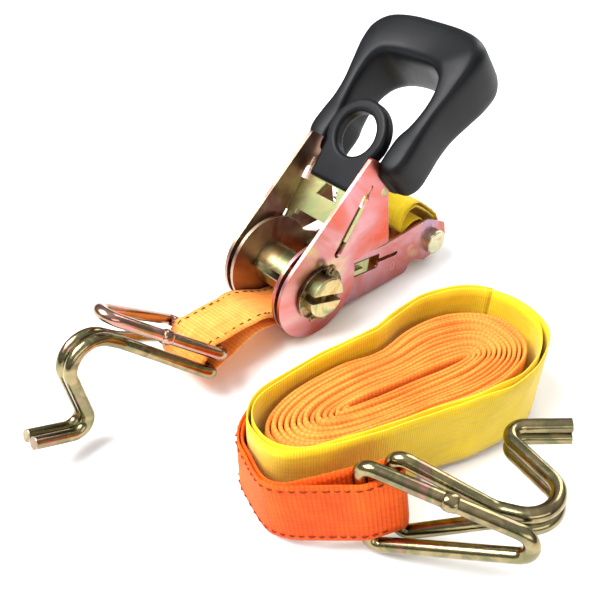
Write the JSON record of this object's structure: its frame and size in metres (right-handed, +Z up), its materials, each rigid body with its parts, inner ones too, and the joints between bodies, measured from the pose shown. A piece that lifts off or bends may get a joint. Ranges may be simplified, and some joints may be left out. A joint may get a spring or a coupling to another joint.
{
  "type": "ratchet tie down",
  "caption": "hand ratchet buckle with rubber grip and finger pull, short webbing strap and keeper hook, with a long strap rolled up beside it",
  "frame": {"origin": "centre of the bounding box on the ground plane it stands on", "axes": "+Z up; +X from the ratchet spool toward the anchor bolt; spool axis along Y, the near side is -Y and carries the rolled strap"},
  "size_m": [0.2318, 0.1862, 0.1147],
  "materials": {
    "zinc_yellow": "yellow-passivated zinc plate",
    "zinc_pink": "yellow-passivated zinc plate",
    "zinc_rose": "yellow-passivated zinc plate",
    "zinc_green": "yellow-passivated zinc plate",
    "zinc_dark": "yellow-passivated zinc plate",
    "zinc_wire": "yellow-passivated zinc plate",
    "spring_steel": "bright drawn wire",
    "black_rubber": "matte, fine texture",
    "orange_webbing": "woven polyester webbing, dark edge stitching",
    "yellow_sleeve": "thin tubular wear sleeve"
  },
  "bodies": {
    "frame": {"base_plate_near": "zinc_rose", "base_plate_far": "zinc_rose", "base_cross_plate": "zinc_green", "base_guide": "zinc_rose", "anchor_bolt": "zinc_yellow", "anchor_nut": "zinc_yellow", "short_strap": "orange_webbing", "short_strap_eye": "orange_webbing", "anchor_sleeve": "yellow_sleeve", "base_pawl_spring": "spring_steel"},
    "spool": {"spool_half_upper": "zinc_yellow", "spool_half_lower": "zinc_yellow", "ratchet_wheel_near": "zinc_dark", "ratchet_wheel_far": "zinc_dark", "spool_washer_near": "zinc_yellow", "spool_washer_far": "zinc_yellow", "split_pin_near": "spring_steel", "split_pin_far": "spring_steel"},
    "base_pawl": {"base_pawl": "zinc_green"},
    "handle": {"handle_plate_near": "zinc_pink", "handle_plate_far": "zinc_pink", "handle_cross_tube": "zinc_yellow", "handle_spring_rod": "zinc_yellow", "grip": "black_rubber", "handle_pawl_spring": "spring_steel"},
    "handle_pawl": {"handle_pawl": "zinc_green", "finger_pull": "black_rubber"},
    "short_hook_ring": {"short_hook_ring": "zinc_wire"},
    "short_hook_wire": {"short_hook_wire": "zinc_wire"},
    "roll": {"strap_roll": "orange_webbing", "roll_sleeve": "yellow_sleeve", "roll_outer_turn": "orange_webbing", "long_strap_eye": "orange_webbing"},
    "long_hook_ring": {"long_hook_ring": "zinc_wire"},
    "long_hook_wire": {"long_hook_wire": "zinc_wire"}
  },
  "joints": [
    {"name": "handle_hinge", "type": "hinge", "parent": "frame", "child": "handle", "pos_m": [0.01383, 0.06221, 0.0223], "axis": [0, -1, 0], "range_deg": [-30, 90]},
    {"name": "spool_spin", "type": "hinge", "parent": "frame", "child": "spool", "pos_m": [0.01383, 0.06221, 0.0223], "axis": [0, -1, 0], "continuous": true},
    {"name": "base_pawl_slide", "type": "slide", "parent": "frame", "child": "base_pawl", "axis": [0.9925, 0, -0.1219], "range_m": [0, 0.0042], "stiffness_N_per_m": 300, "springref_m": -0.004, "deforming": ["base_pawl_spring"]},
    {"name": "handle_pawl_slide", "type": "slide", "parent": "handle", "child": "handle_pawl", "axis": [0.6018, 0, 0.7986], "range_m": [-0.0022, 0.003], "stiffness_N_per_m": 300, "deforming": ["handle_pawl_spring"]},
    {"name": "short_hook_ring_hinge", "type": "hinge", "parent": "frame", "child": "short_hook_ring", "pos_m": [-0.03907, 0.05881, 0.0171], "axis": [0.0576, -0.9971, 0.0495], "range_deg": [-25, 0]},
    {"name": "short_hook_wire_hinge", "type": "hinge", "parent": "frame", "child": "short_hook_wire", "pos_m": [-0.04539, 0.05817, 0.01151], "axis": [0.0576, -0.9971, 0.0495], "range_deg": [0, 10]},
    {"name": "roll_lift", "type": "slide", "parent": "frame", "child": "roll", "axis": [0, 0, 1], "range_m": [0, 0.15]},
    {"name": "long_hook_ring_hinge", "type": "hinge", "parent": "roll", "child": "long_hook_ring", "pos_m": [-0.04937, -0.04459, 0.0203], "axis": [-0.0241, 0.1712, 0.9849], "range_deg": [-25, 0]},
    {"name": "long_hook_wire_hinge", "type": "hinge", "parent": "roll", "child": "long_hook_wire", "pos_m": [-0.03972, -0.04894, 0.02129], "axis": [-0.0241, 0.1712, 0.9849], "range_deg": [0, 10]}
  ]
}
